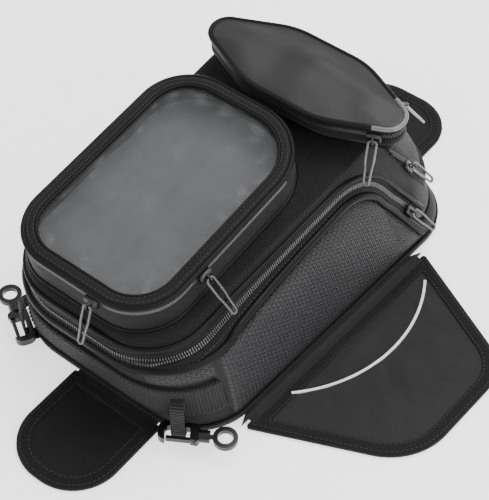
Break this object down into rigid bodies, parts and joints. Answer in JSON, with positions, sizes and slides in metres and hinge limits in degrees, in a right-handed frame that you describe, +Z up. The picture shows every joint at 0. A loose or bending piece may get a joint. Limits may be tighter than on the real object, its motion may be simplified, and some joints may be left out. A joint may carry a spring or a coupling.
{
  "type": "motorcycle tank bag",
  "caption": "Soft magnetic motorcycle tank bag with a clear phone pocket, a raised front pouch, zipped main compartment, fold-out magnetic wings and snap hooks.",
  "frame": {"origin": "middle of the underside of the base, on the surface the bag rests on", "axes": "+Z up, +Y towards the pouch end (handlebar side), +X to the right seen from the rider"},
  "size_m": [0.3385, 0.48, 0.1601],
  "materials": {
    "ballistic_nylon": "coarse basket-woven nylon, slight sheen",
    "plain_nylon": "fine plain-woven nylon, matt",
    "mesh_nylon": "coarse mesh-faced nylon",
    "carbon_vinyl": "embossed carbon-look vinyl, satin",
    "piping_vinyl": "smooth padded piping, satin",
    "binding": "folded edge tape, matt",
    "webbing": "ribbed strap",
    "zip_teeth": "coil teeth on woven tape",
    "light_zip_teeth": "coil teeth with a light sheen",
    "slider_metal": "gunmetal, worn bright at the edges",
    "pull_metal": "gunmetal wire",
    "hook_plastic": "black moulded acetal",
    "clear_vinyl": "clear flexible film, glossy",
    "grey_lining": "smooth grey lining",
    "reflective": "silver-white reflective piping",
    "magnet_steel": "coated flat magnets, sewn in",
    "board": "stiffening board",
    "foam": "closed-cell foam",
    "grip_rubber": "soft non-slip sheet"
  },
  "bodies": {
    "tub": {"tub_shell": "plain_nylon", "grip_mat": "grip_rubber", "base_foam": "foam", "base_board": "board", "tub_lining": "grey_lining", "side_panels": "carbon_vinyl", "panel_piping": "piping_vinyl", "web_band": "webbing", "base_binding": "binding", "main_zip_lower": "light_zip_teeth", "web_loops": "webbing"},
    "cover": {"cover_shell": "ballistic_nylon", "cover_piping": "piping_vinyl", "main_zip_upper": "light_zip_teeth", "rear_zip": "zip_teeth", "pocket_wall": "piping_vinyl", "pocket_lining": "grey_lining", "pocket_zip_lower": "light_zip_teeth", "pouch_wall": "mesh_nylon", "pouch_zip_lower": "zip_teeth"},
    "window_lid": {"window_frame": "plain_nylon", "window_pane": "clear_vinyl", "window_piping": "piping_vinyl", "window_zip": "light_zip_teeth"},
    "pouch_lid": {"pouch_top": "plain_nylon", "pouch_piping": "piping_vinyl", "pouch_glow": "reflective", "pouch_zip_upper": "zip_teeth"},
    "front_flap_body": {"front_flap": "plain_nylon", "front_flap_edge": "binding", "front_flap_magnets": "magnet_steel"},
    "rear_flap_body": {"rear_flap": "plain_nylon", "rear_flap_edge": "binding", "rear_flap_magnets": "magnet_steel"},
    "right_wing_body": {"right_wing": "ballistic_nylon", "right_wing_edge": "binding", "right_wing_magnets": "magnet_steel", "right_wing_glow": "reflective"},
    "left_wing_body": {"left_wing": "ballistic_nylon", "left_wing_edge": "binding", "left_wing_magnets": "magnet_steel", "left_wing_glow": "reflective"},
    "main_slider_body": {"main_slider": "slider_metal"},
    "main_pull_body": {"main_pull": "pull_metal"},
    "pocket_side_slider_body": {"pocket_side_slider": "slider_metal"},
    "pocket_side_pull_body": {"pocket_side_pull": "pull_metal"},
    "pocket_front_slider_body": {"pocket_front_slider": "slider_metal"},
    "pocket_front_pull_body": {"pocket_front_pull": "pull_metal"},
    "pouch_front_slider_body": {"pouch_front_slider": "slider_metal"},
    "pouch_front_pull_body": {"pouch_front_pull": "pull_metal"},
    "pouch_rear_slider_body": {"pouch_rear_slider": "slider_metal"},
    "pouch_rear_pull_body": {"pouch_rear_pull": "pull_metal"},
    "rear_slider_body": {"rear_slider": "slider_metal"},
    "rear_pull_body": {"rear_pull": "pull_metal"},
    "right_hook_body": {"right_hook": "hook_plastic"},
    "right_hook_gate_body": {"right_hook_gate": "hook_plastic"},
    "right_hook_eye_body": {"right_hook_eye": "hook_plastic"},
    "left_hook_body": {"left_hook": "hook_plastic"},
    "left_hook_gate_body": {"left_hook_gate": "hook_plastic"},
    "left_hook_eye_body": {"left_hook_eye": "hook_plastic"}
  },
  "joints": [
    {"name": "cover_open", "type": "hinge", "parent": "tub", "child": "cover", "pos_m": [0, 0.1564, 0.0216], "axis": [-1, 0, 0], "range_deg": [0, 62]},
    {"name": "window_open", "type": "hinge", "parent": "cover", "child": "window_lid", "pos_m": [-0.011, 0.03253, 0.13745], "axis": [-1, 0, 0], "range_deg": [0, 88]},
    {"name": "pouch_open", "type": "hinge", "parent": "cover", "child": "pouch_lid", "pos_m": [0.01, 0.10404, 0.14761], "axis": [-1, 0, 0], "range_deg": [0, 110]},
    {"name": "front_flap_lift", "type": "hinge", "parent": "tub", "child": "front_flap_body", "pos_m": [0.016, -0.1545, 0.0021], "axis": [-1, 0, 0], "range_deg": [0, 66]},
    {"name": "rear_flap_lift", "type": "hinge", "parent": "tub", "child": "rear_flap_body", "pos_m": [0.006, 0.1625, 0.0021], "axis": [1, 0, 0], "range_deg": [0, 32]},
    {"name": "right_wing_lift", "type": "hinge", "parent": "tub", "child": "right_wing_body", "pos_m": [0.1093, 0, 0.0021], "axis": [-0.0486, -0.9988, 0], "range_deg": [0, 78]},
    {"name": "left_wing_spread", "type": "hinge", "parent": "tub", "child": "left_wing_body", "pos_m": [-0.10952, 0, 0.0021], "axis": [0.0486, -0.9988, 0], "range_deg": [0, 99]},
    {"name": "main_slide", "type": "slide", "parent": "tub", "child": "main_slider_body", "axis": [-0.2446, -0.5095, 0.825], "range_m": [0, 0.026]},
    {"name": "main_pull_swing", "type": "hinge", "parent": "main_slider_body", "child": "main_pull_body", "pos_m": [0.10183, 0.09391, 0.04498], "axis": [-0.1162, 0.8601, 0.4967], "range_deg": [-165, 0]},
    {"name": "pocket_side_slide", "type": "slide", "parent": "cover", "child": "pocket_side_slider_body", "axis": [0, 0.9936, 0.1132], "range_m": [0, 0.08]},
    {"name": "pocket_side_pull_swing", "type": "hinge", "parent": "pocket_side_slider_body", "child": "pocket_side_pull_body", "pos_m": [0.0613, -0.1018, 0.12214], "axis": [0, 0.9936, 0.1132], "range_deg": [-110, 0]},
    {"name": "pocket_front_slide", "type": "slide", "parent": "cover", "child": "pocket_front_slider_body", "axis": [1, 0, 0], "range_m": [-0.038, 0]},
    {"name": "pocket_front_pull_swing", "type": "hinge", "parent": "pocket_front_slider_body", "child": "pocket_front_pull_body", "pos_m": [0.009, -0.16569, 0.11486], "axis": [1, 0, 0], "range_deg": [-120, 0]},
    {"name": "pouch_front_slide", "type": "slide", "parent": "cover", "child": "pouch_front_slider_body", "axis": [0.9211, 0.3867, 0.0441], "range_m": [-0.02, 0]},
    {"name": "pouch_front_pull_swing", "type": "hinge", "parent": "pouch_front_slider_body", "child": "pouch_front_pull_body", "pos_m": [0.0836, 0.05362, 0.14186], "axis": [0.9211, 0.3867, 0.0441], "range_deg": [-110, 0]},
    {"name": "pouch_rear_slide", "type": "slide", "parent": "cover", "child": "pouch_rear_slider_body", "axis": [-0.9211, 0.3867, 0.0441], "range_m": [0, 0.02]},
    {"name": "pouch_rear_pull_swing", "type": "hinge", "parent": "pouch_rear_slider_body", "child": "pouch_rear_pull_body", "pos_m": [0.0836, 0.09405, 0.14647], "axis": [-0.9211, 0.3867, 0.0441], "range_deg": [-110, 0]},
    {"name": "rear_slide", "type": "slide", "parent": "cover", "child": "rear_slider_body", "axis": [-0.1785, -0.517, 0.8371], "range_m": [0, 0.006]},
    {"name": "rear_pull_swing", "type": "hinge", "parent": "rear_slider_body", "child": "rear_pull_body", "pos_m": [0.09061, 0.10395, 0.08118], "axis": [-0.3717, 0.8232, 0.4291], "range_deg": [-165, 0]},
    {"name": "right_hook_swing", "type": "hinge", "parent": "tub", "child": "right_hook_body", "pos_m": [0.07422, -0.15566, 0.014], "axis": [0, 0, 1], "range_deg": [-8, 8]},
    {"name": "right_hook_gate_open", "type": "hinge", "parent": "right_hook_body", "child": "right_hook_gate_body", "pos_m": [0.08691, -0.15503, 0.014], "axis": [0, 0, -1], "range_deg": [0, 9.5], "stiffness_Nm_per_rad": 0.02, "springref_deg": -11.46},
    {"name": "right_hook_swivel", "type": "hinge", "parent": "right_hook_body", "child": "right_hook_eye_body", "pos_m": [0.07494, -0.15686, 0.014], "axis": [0.8572, 0.515, 0], "continuous": true},
    {"name": "left_hook_swing", "type": "hinge", "parent": "tub", "child": "left_hook_body", "pos_m": [-0.07422, -0.15566, 0.014], "axis": [0, 0, 1], "range_deg": [-8, 8]},
    {"name": "left_hook_gate_open", "type": "hinge", "parent": "left_hook_body", "child": "left_hook_gate_body", "pos_m": [-0.08691, -0.15503, 0.014], "axis": [0, 0, 1], "range_deg": [0, 9.5], "stiffness_Nm_per_rad": 0.02, "springref_deg": -11.46},
    {"name": "left_hook_swivel", "type": "hinge", "parent": "left_hook_body", "child": "left_hook_eye_body", "pos_m": [-0.07494, -0.15686, 0.014], "axis": [-0.8572, 0.515, 0], "continuous": true}
  ]
}
